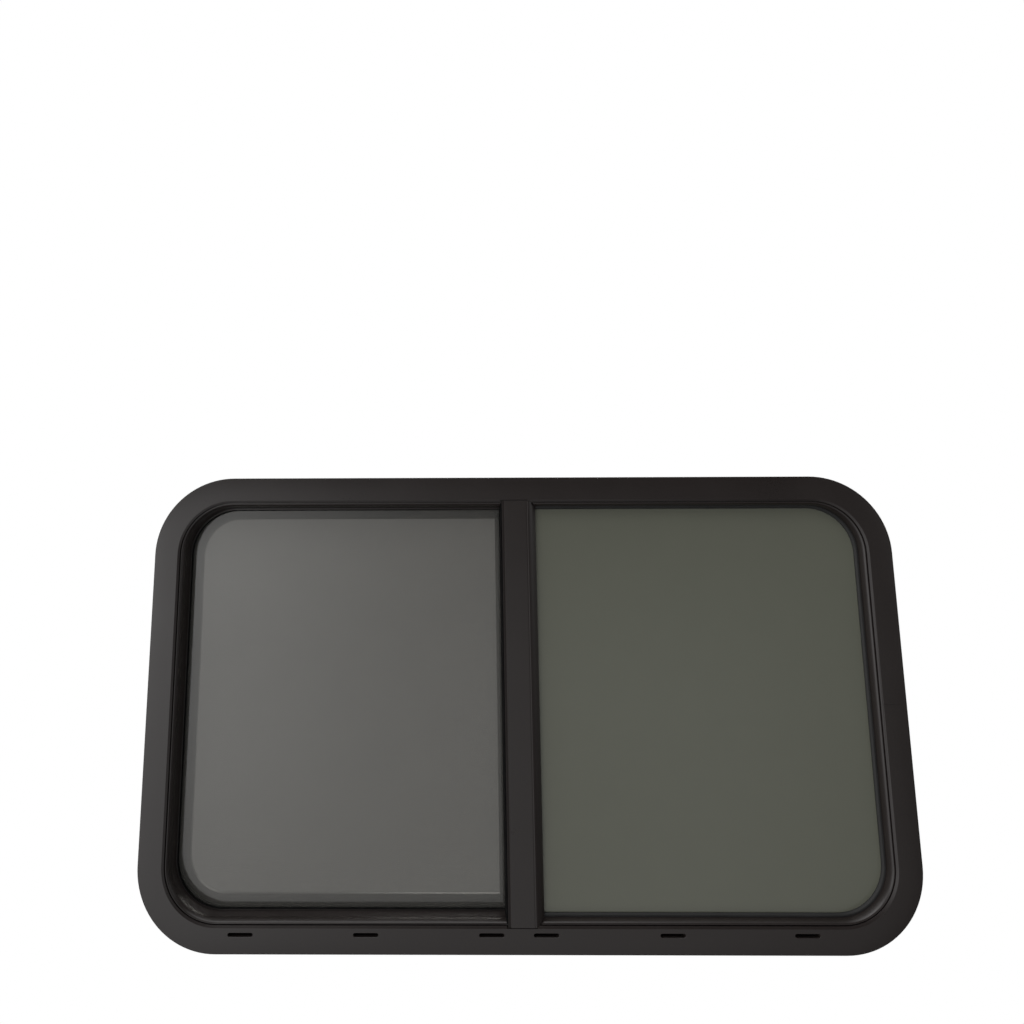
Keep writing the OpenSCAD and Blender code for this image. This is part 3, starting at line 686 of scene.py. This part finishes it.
def joint_cutter(s):
    """Hairline across the face where the bent extrusion's ends meet."""
    past, half, deep = 0.001, 0.0002, 0.0005
    near, far = s.width / 2 - s.face - past, s.width / 2 + past
    low, high = SILL_TO_MIDDLE - half, SILL_TO_MIDDLE + half
    return prism([(near, low), (far, low), (far, high), (near, high)], AHEAD, deep - s.flange)


def filler_outline(s):
    """Bent strip that closes the front channel round the sliding pane, sloping to the fin."""
    top, back = s.tip_z - SLIT, s.pocket_z + SLIT
    a, b, c, t = s.floor_in + SLIT, s.tip_in - 0.0004, s.fin_in - 0.0016, 0.0014
    return rounded([(a, top), (b, top), (c, back), (a, back), (a, back + t), (c - t, back + t),
                    (b - t, top - t), (a, top - t)], 0.0002)


def run_outline(s):
    """Flocked channel for the sliding pane; its front leg hooks over the fin's edge."""
    a, back, front = s.floor_in + SLIT, s.slide_z + SLIT, s.fin_z - SLIT
    low, high = s.sash_z - SLIT, s.sash_z + s.glass + SLIT
    hook, floor, rear = s.fin_in + SLIT, a + 0.0012, s.run_in - 0.0006
    return rounded([(a, front), (hook, front), (hook, s.pocket_z), (s.run_in, s.pocket_z),
                    (s.run_in, high), (floor, high), (floor, low), (rear, low), (rear, back),
                    (a, back)], [0, 0, 0, 0.0004, 0.0003, 0, 0, 0.0003, 0.0003, 0])


def seal_outline(s):
    """Rubber channel round the fixed pane, its front leg sloping down to the sight line."""
    a, g = s.floor_in + SLIT, s.glass_in - SLIT
    top, back = s.tip_z - SLIT, s.pocket_z + SLIT
    glass_back = s.pocket_z + s.seal_back
    front = glass_back + s.glass
    sight = s.floor_in + s.seal_sight
    rear = sight - 0.0009
    return rounded([(a, top), (sight - 0.0016, top), (sight, front + 0.0010), (sight, front),
                    (g, front), (g, glass_back), (rear, glass_back), (rear, back), (a, back)],
                   [0, 0.0009, 0.0005, 0.0001, 0, 0, 0.0003, 0.0003, 0])


def bar_outline(s):
    """Section of the screen's roll-formed bars, with the groove for the cord at the back."""
    out, front = s.floor_in + 3 * SLIT, s.screen_z
    back, far = front - s.screen_thick, s.mesh_in
    inner = far - TUCK
    slot = inner - s.spline - 4 * SLIT
    ledge, floor = back + 0.0012, back + 0.0026
    return rounded([(out, front), (far - 0.0035, front), (far, front - 0.0012), (far, ledge),
                    (inner, ledge), (inner, floor), (slot, floor), (slot, back), (out, back)],
                   [0.0008, 0.0012, 0.0006, 0.0003, 0, 0, 0, 0.0003, 0.0008])


def cord_outline(s):
    """Round cord with eight low ribs: its radius is r * (1 + 0.05 * cos 8a)."""
    a = np.linspace(0, 2 * np.pi, 40, endpoint=False)
    r = 0.00118 * (1 + 0.05 * np.cos(8 * a))
    z = s.screen_z - s.screen_thick + 0.0014
    return np.stack([s.cord_in + 1.15 * r * np.cos(a), z + r * np.sin(a)], axis=1)


def ring_outline(s):
    """Section of the clamp ring: thin rim, band on the wall, riser and inner screw flange."""
    wall, back, t = -s.wall_slot, -s.depth, s.ring_thick
    rim, band, riser = wall - 0.001, wall - 0.002, s.riser_in + t
    return rounded([(0, wall), (0, rim), (0.003, rim), (0.0036, band), (riser, band),
                    (riser, back - t), (s.ring, back - t), (s.ring, back), (s.riser_in, back),
                    (s.riser_in, wall)],
                   [0.0002, 0.0004, 0.0003, 0.0004, 0.0008, 0.0006, 0.0004, 0.0003, 0.0006, 0.0003])


def screw_places(s):
    """The screws' places for each side, as x and height from the window's middle."""
    x = np.linspace(-1, 1, 4) * (s.width / 2 - s.bend - s.screw_ends_x)
    y = np.linspace(-1, 1, 4) * (s.height / 2 - s.bend - s.screw_ends_y)
    half_w, half_h = s.width / 2 - s.race_in, s.height / 2 - s.race_in
    return {"top": np.stack([x, x * 0 + half_h], 1), "bottom": np.stack([x, x * 0 - half_h], 1),
            "left": np.stack([y * 0 - half_w, y], 1), "right": np.stack([y * 0 + half_w, y], 1)}


def hole_cutters(s):
    """Round holes through the ring's screw flange, countersunk on the room side."""
    base, way = round_path(s.hole, s.hole, s.hole, 6, 0)
    room, wider, sunk = -s.depth - s.ring_thick, 0.0007, 0.0004
    rings = [(0, -s.depth + 0.001), (0, room + sunk), (-wider, room - sunk)]
    return [slab((base + place, way), rings)
            for places in screw_places(s).values() for place in places]


def screw_shape(s, place, turn):
    """A screw on the room side, as a grid of angle and of place along its outline.

    Head: a dome of height h * sqrt(1 - (r / R)^2) with a cross sunk into it, as deep as
    the least distance to the cross's arms allows. Shank: a ridge that winds round, its height
    a triangle wave of the turns minus the angle.
    """
    cross, cross_long, cross_deep, bank, run_out = 0.00062, 0.0027, 0.0014, 0.0003, 0.0008
    steps, core, pitch, point, blunt = 36, 0.72, 0.0016, 0.004, 0.06
    seat = s.depth + s.ring_thick
    angle = np.linspace(0, 2 * np.pi, steps, endpoint=False)[:, None]
    r = s.head * np.linspace(0.0, 1.0, 12)[1:]
    rise = s.head_high * np.sqrt(np.maximum(1 - (r / s.head) ** 2, 0))
    arm = np.minimum(abs(np.sin(angle + turn)), abs(np.cos(angle + turn))) * r
    sunk = np.clip((cross - arm) / bank, 0, 1) * np.clip((cross_long - r) / run_out, 0, 1)
    z = np.linspace(0, s.screw_long, 96)
    wind = (z / pitch - angle / (2 * np.pi)) % 1.0
    ridge = np.clip(1 - 3 * abs(wind - 0.5), 0, 1)
    taper = np.clip((s.screw_long - z) / point, blunt, 1)
    shank = s.screw_thick * (core + (1 - core) * ridge) * taper
    radius = np.concatenate([np.broadcast_to(r, (steps, len(r))), shank], axis=1)
    height = np.concatenate([rise - cross_deep * sunk,
                             np.broadcast_to(-z, (steps, len(z)))], axis=1)
    points = np.stack([place[0] + radius * np.cos(angle), seat + height,
                       place[1] + radius * np.sin(angle) + SILL_TO_MIDDLE], axis=2)
    rows, columns = radius.shape
    faces = grid_faces(rows, columns, True, False)
    faces.append(range(columns - 1, rows * columns, columns)[::-1])
    crown = rows * columns
    points = np.concatenate([points.reshape(-1, 3), [[
        place[0], seat + s.head_high - cross_deep, place[1] + SILL_TO_MIDDLE]]])
    ring = np.arange(rows) * columns
    faces += np.stack([ring * 0 + crown, np.roll(ring, -1), ring], axis=1).tolist()
    return points, faces


def thread_shape(s):
    """The woven mesh: open square tubes in two crossing layers, cut off at the rounded outline.

    A thread at place q runs straight, save for a slow drift, the sum of two waves
    a * sin(t / L + phase + q / M), and its own small shift, both seeded, so that the weave is as
    uneven as a real one. The second upright thread is left out, which leaves a fine line of light.
    """
    random = np.random.default_rng(7)
    waves = ((0.00009, 0.021, 0.05), (0.00007, 0.047, -0.09))
    uneven, overlap = 0.00006, 0.8
    inset = s.mesh_in - TUCK
    half_w, half_h = s.width / 2 - inset, s.height / 2 - inset
    straight_x, straight_y = s.width / 2 - s.bend, s.height / 2 - s.bend
    round_r = s.bend - inset
    right = s.screen_right - s.screen_bar + TUCK
    level = s.screen_thick - s.screen_z - 0.0012
    steps, half = 24, s.thread / 2
    corner = np.array([[1, 0], [0, 1], [-1, 0], [0, -1]]) * half
    tube = np.array(grid_faces(steps + 1, 4, False, True))
    shapes = []
    for across in (True, False):
        if across:
            place = np.arange(-half_h + s.pitch / 2, half_h, s.pitch)
            past = np.maximum(abs(place) - straight_y, 0)
            low = -straight_x - np.sqrt(np.maximum(round_r ** 2 - past ** 2, 0))
            high = np.full(len(place), right)
        else:
            place = np.delete(np.arange(-half_w + s.pitch / 2, right, s.pitch), 1)
            past = np.maximum(-straight_x - place, 0)
            high = straight_y + np.sqrt(np.maximum(round_r ** 2 - past ** 2, 0))
            low = -high
        count = len(place)
        t = low[:, None] + (high - low)[:, None] * np.linspace(0, 1, steps + 1)[None, :]
        phases = random.uniform(0, 2 * np.pi, 3)
        drift = sum(a * np.sin(t / along + phase + place[:, None] / aside)
                    for (a, along, aside), phase in zip(waves, phases))
        shift = random.normal(0, uneven, count)[:, None]
        side = (place[:, None] + drift + shift)[:, :, None] + corner[:, 0]
        points = np.empty((count, steps + 1, 4, 3))
        if across:
            points[..., 0], points[..., 2] = t[:, :, None], side + SILL_TO_MIDDLE
        else:
            points[..., 0], points[..., 2] = side, t[:, :, None] + SILL_TO_MIDDLE
        points[..., 1] = level + (half if across else -half) * overlap + corner[:, 1]
        faces = tube + np.arange(count)[:, None, None] * (steps + 1) * 4
        shapes.append((points.reshape(-1, 3), faces.reshape(-1, 4).tolist()))
    return merged(shapes)


# Operators

def coat():
    """The powder coat of the frame, mullion, stile and ring."""
    s = finishes()
    return powder_coat("powder_coat", s.coat_colour, s.coat_roughness)


class WINDOW_OT_frame(bpy.types.Operator):
    """Bent outer frame with weep slots and joint line, filler strip and mullion"""
    bl_idname = "window.frame"
    bl_label = "Frame"

    def execute(self, context):
        s, finish = sizes(), coat()
        plates, mouths = mullion_cutters(s)
        mesh = carved("bent_frame", swept(full_round(s), frame_outline(s)),
                      slot_cutters(s) + [joint_cutter(s)] + plates, mouths)
        piece("bent_frame", mesh, finish, "outer_frame")
        strip = swept(bay_path(s, s.bay_end), filler_outline(s), closed=False)
        piece("filler_strip", strip, finish, "bay_filler")
        post = upright(mullion_outline(s), s.height / 2 - s.face - s.mullion_gap)
        piece("post", carved("post", post, *mullion_trims(s)), finish, "mullion")
        x0, x1 = s.mullion_left - s.wiper, s.mullion_left - SLIT / 2
        z0, z1 = s.sash_z + s.glass + SLIT, 0.0006
        strip = rounded([(x0, z0), (x0, z1), (x1, z1), (x1, z0)], [0.0002, 0.0006, 0.0004, 0.0002])
        piece("wiper", upright(strip, s.height / 2 - s.floor_in - 2 * SLIT), flock(),
              "mullion_pile")
        return {"FINISHED"}


class WINDOW_OT_panes(bpy.types.Operator):
    """Tinted panes with ground edges, the rubber seal and the flocked runs"""
    bl_idname = "window.panes"
    bl_label = "Panes and seals"

    def execute(self, context):
        s, f, black = sizes(), finishes(), rubber("seal_rubber")
        for kind, path, back, tint, clear in (
                ("fixed", pane_path(s, s.mullion_right - s.floor_in, 1.0),
                 s.pocket_z + s.seal_back, f.fixed_tint, f.fixed_clear),
                ("sliding", bay_path(s, s.sash_right + s.glass_in, 1.0),
                 s.sash_z, f.sliding_tint, f.sliding_clear)):
            u, c, front, name = s.glass_in, s.glass_arris, back + s.glass, kind + "_pane"
            rings = [(u + c, front), (u, front - c), (u, back + c), (u + c, back)]
            mesh = new_mesh(name, slab(path, rings), sharp=20)
            piece(name, mesh, tinted_glass(name, tint, clear), kind + "_glass")
        slope = s.seal_beside / s.seal_sight
        around = pane_path(s, s.mullion_right - slope * s.floor_in, slope)
        piece("pane_seal", swept(around, seal_outline(s)), black, "fixed_seal")
        for stop in ("sash_stop_upper", "sash_stop_lower"):
            wear(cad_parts[stop].data, black)
        base, way = bay_path(s, 0)
        run, end = flock(), s.width / 2 - s.bend
        for name, path in (
                ("run_left", (base[1:-1], way[1:-1])),
                ("run_top", (np.array([[end, s.height / 2], base[1]]), way[[1, 1]])),
                ("run_bottom", (np.array([base[-2], [end, -s.height / 2]]), way[[-2, -2]]))):
            piece(name, swept(path, run_outline(s), closed=False), run, "glass_" + name)
        return {"FINISHED"}


class WINDOW_OT_latch(bpy.types.Operator):
    """Sash stile with its latch"""
    bl_idname = "window.latch"
    bl_label = "Stile and latch"

    def execute(self, context):
        plastic = black_plastic()
        softened("sash_stile", coat(), 0.0002)
        softened("latch_body", plastic, 0.0004, 3)
        softened("latch_lever", plastic, 0.0004, 3)
        return {"FINISHED"}


class WINDOW_OT_insect_screen(bpy.types.Operator):
    """Insect screen: bars, corner pieces, woven mesh, cord, pull tabs and clips"""
    bl_idname = "window.insect_screen"
    bl_label = "Insect screen"

    def execute(self, context):
        s, f = sizes(), finishes()
        bar = powder_coat("screen_bar_coat", f.bar_colour, f.coat_roughness + 0.04)
        plastic, steel = black_plastic(), black_steel()
        left = s.screen_right - s.screen_bar
        bars = swept(bay_path(s, left - SLIT), bar_outline(s), closed=False)
        piece("screen_bars", bars, bar, "screen_frame")
        softened("screen_stile", bar, 0.0005, 3)
        for name in ("screen_corner_upper", "screen_corner_lower", "screen_tab_upper",
                     "screen_tab_lower"):
            softened(name, plastic, 0.0003)
        for name in ("screen_clip_top", "screen_clip_left", "screen_clip_bottom"):
            softened(name, steel, 0.00025)
        cord_x = left + TUCK + 2 * SLIT + s.spline / 2
        loop = bay_path(s, cord_x + s.cord_in, 1.0, steps=16)
        piece("screen_cord", swept(loop, cord_outline(s)), rubber("cord"),
              "screen_spline")
        mesh = new_mesh("insect_mesh", thread_shape(s), sharp=100)
        weave = piece("insect_mesh", mesh, insect_mesh(f.mesh_colour), "screen_mesh")
        size = weave.dimensions
        size.x
        size.z
        return {"FINISHED"}


class WINDOW_OT_clamp_ring(bpy.types.Operator):
    """Clamp ring on the room side and its sixteen screws"""
    bl_idname = "window.clamp_ring"
    bl_label = "Clamp ring and screws"

    def execute(self, context):
        s, steel = sizes(), black_steel()
        ring = carved("ring", swept(full_round(s), ring_outline(s)), hole_cutters(s))
        piece("ring", ring, coat(), "clamp_ring")
        random = np.random.default_rng(3)
        for side, places in screw_places(s).items():
            shapes = [screw_shape(s, place, random.uniform(0, 1.5)) for place in places]
            mesh = new_mesh("screws_" + side, merged(shapes), sharp=50)
            piece("screws_" + side, mesh, steel, "ring_screws_" + side)
        return {"FINISHED"}


def area_lamp(name, place, size, power):
    """A white lamp of that size and power in watts, turned to the window."""
    data = bpy.data.lights.new(name, "AREA")
    data.shape = "RECTANGLE"
    data.size, data.size_y = size
    data.energy = power
    lamp = bpy.data.objects.new(name, data)
    bpy.context.scene.collection.objects.link(lamp)
    turn = (Vector(LIT_POINT) - Vector(place)).to_track_quat("-Z", "Y").to_matrix().to_4x4()
    lamp.matrix_world = Matrix.Translation(place) @ turn


# Soft areas of light, each with its strength and, in degrees: its direction, from straight out
# of the window towards +X and then up, its width and its height. 180 is straight into the room.
GLOWS = (
    (1.50, -25, -14, 18, 18), (0.50, -25, -42, 18, 18), (1.34, -50, -14, 18, 18),
    (0.56, -50, -42, 18, 18), (0.30, -50, 14, 18, 18), (0.48, -75, -14, 18, 18),
    (0.23, -75, -42, 18, 18), (0.54, -75, 14, 18, 18), (0.40, 0, -14, 18, 18),
    (0.52, 0, -42, 18, 18), (0.52, 25, -14, 18, 18), (0.48, 25, -42, 18, 18),
    (0.22, 75, -14, 18, 18), (0.95, 75, 14, 18, 18), (3.10, -60, 50, 35, 22),
    (0.95, -25, 2, 20, 9), (1.79, -50, 2, 20, 9), (1.30, 180, 10, 50, 50),
    (1.80, 0, 88, 400, 24))


def studio_world(stage):
    """White where the camera looks past the window, and the level of a shaded white card where
    it looks through the glass. The window itself is lit by soft areas: each glow's strength
    falls off as exp(-(across / wide)^2 - (up / high)^2) with the direction."""
    world = bpy.data.worlds.new("studio")
    bpy.context.scene.world = world
    world.use_nodes = True
    sky = Nodes(world.node_tree)
    way = sky.node("TexCoord", out="Generated")
    x, y, z = (sky.node("SeparateXYZ", out=axis, Vector=way) for axis in "XYZ")
    across, up = x.join("ARCTAN2", y * -1.0), z.join("ARCSINE")
    light = 0.0
    for strength, towards, height, wide, high in GLOWS:
        turn, middle = (across, towards) if towards < 180 else (x.join("ARCTAN2", y), 0)
        a = (turn - math.radians(middle)) / math.radians(wide)
        b = (up - math.radians(height)) / math.radians(high)
        light = light + ((a * a + b * b) * -1.0).join("EXPONENT") * (strength * stage.side_light)
    scattered = sky.node("LightPath", out="Diffuse Depth").join("GREATER_THAN", 0.5)
    through = sky.node("LightPath", out="Is Transmission Ray") * (1.0 - scattered)
    seen = sky.node("LightPath", out="Is Camera Ray")
    lit, shade, white = (sky.node("Background", Color=(1, 1, 1), Strength=level)
                         for level in (light, stage.card, 1.0))
    past = sky.node("MixShader", i0=through, i1=lit, i2=shade)
    sky.put(sky.tree.nodes["World Output"].inputs["Surface"],
            sky.node("MixShader", i0=seen, i1=past, i2=white))


class WINDOW_OT_stage(bpy.types.Operator):
    """Camera, lamps and white surroundings"""
    bl_idname = "window.stage"
    bl_label = "Stage"

    def execute(self, context):
        scene = context.scene
        stage = scene.window_stage
        scene.view_settings.view_transform = "Standard"
        studio_world(stage)
        data = bpy.data.cameras.new("camera")
        data.sensor_width = 36
        data.lens = stage.focal_length
        data.shift_x = CAMERA_SHIFT
        data.clip_start = 0.01
        camera = bpy.data.objects.new("camera", data)
        scene.collection.objects.link(camera)
        forward, right = (Vector(way).normalized() for way in (CAMERA_FORWARD, CAMERA_RIGHT))
        up = right.cross(forward).normalized()
        turn = Matrix((right, up, -forward)).transposed().to_4x4()
        camera.matrix_world = Matrix.Translation(CAMERA_PLACE) @ turn
        scene.camera = camera
        area_lamp("top_lamp", (0.1, -0.9, 1.9), (1.4, 0.8), 5 * stage.lamp_power)
        area_lamp("room_lamp", (0.3, 1.6, 1.2), (1.4, 1.0), 34 * stage.lamp_power)
        return {"FINISHED"}


class WINDOW_PT_panel(bpy.types.Panel):
    """Settings and operators of the window"""
    bl_label = "Caravan window"
    bl_idname = "WINDOW_PT_panel"
    bl_space_type = "VIEW_3D"
    bl_region_type = "UI"
    bl_category = "Window"

    def draw(self, context):
        for name in GROUPS:
            group = getattr(context.scene, name)
            for key in group.__annotations__:
                self.layout.prop(group, key)
        for operator in OPERATORS:
            self.layout.operator(operator.bl_idname)


OPERATORS = (WINDOW_OT_frame, WINDOW_OT_panes, WINDOW_OT_latch, WINDOW_OT_insect_screen,
             WINDOW_OT_clamp_ring, WINDOW_OT_stage)
GROUPS = {"window_sizes": SizeSettings, "window_finishes": FinishSettings,
          "window_stage": StageSettings}


def register():
    """Registers the classes and gives the scene its settings."""
    for group in GROUPS.values():
        bpy.utils.register_class(group)
    for name, group in GROUPS.items():
        setattr(bpy.types.Scene, name, bpy.props.PointerProperty(type=group))
    for kind in (*OPERATORS, WINDOW_PT_panel):
        bpy.utils.register_class(kind)


def unregister():
    """Takes the settings and the classes away again."""
    for kind in (WINDOW_PT_panel, *reversed(OPERATORS)):
        bpy.utils.unregister_class(kind)
    for name, group in GROUPS.items():
        delattr(bpy.types.Scene, name)
        bpy.utils.unregister_class(group)


def main():
    """Makes the whole window."""
    register()
    for operator in OPERATORS:
        getattr(bpy.ops.window, operator.bl_idname.split(".")[1])()


if __name__ == "__main__":
    main()
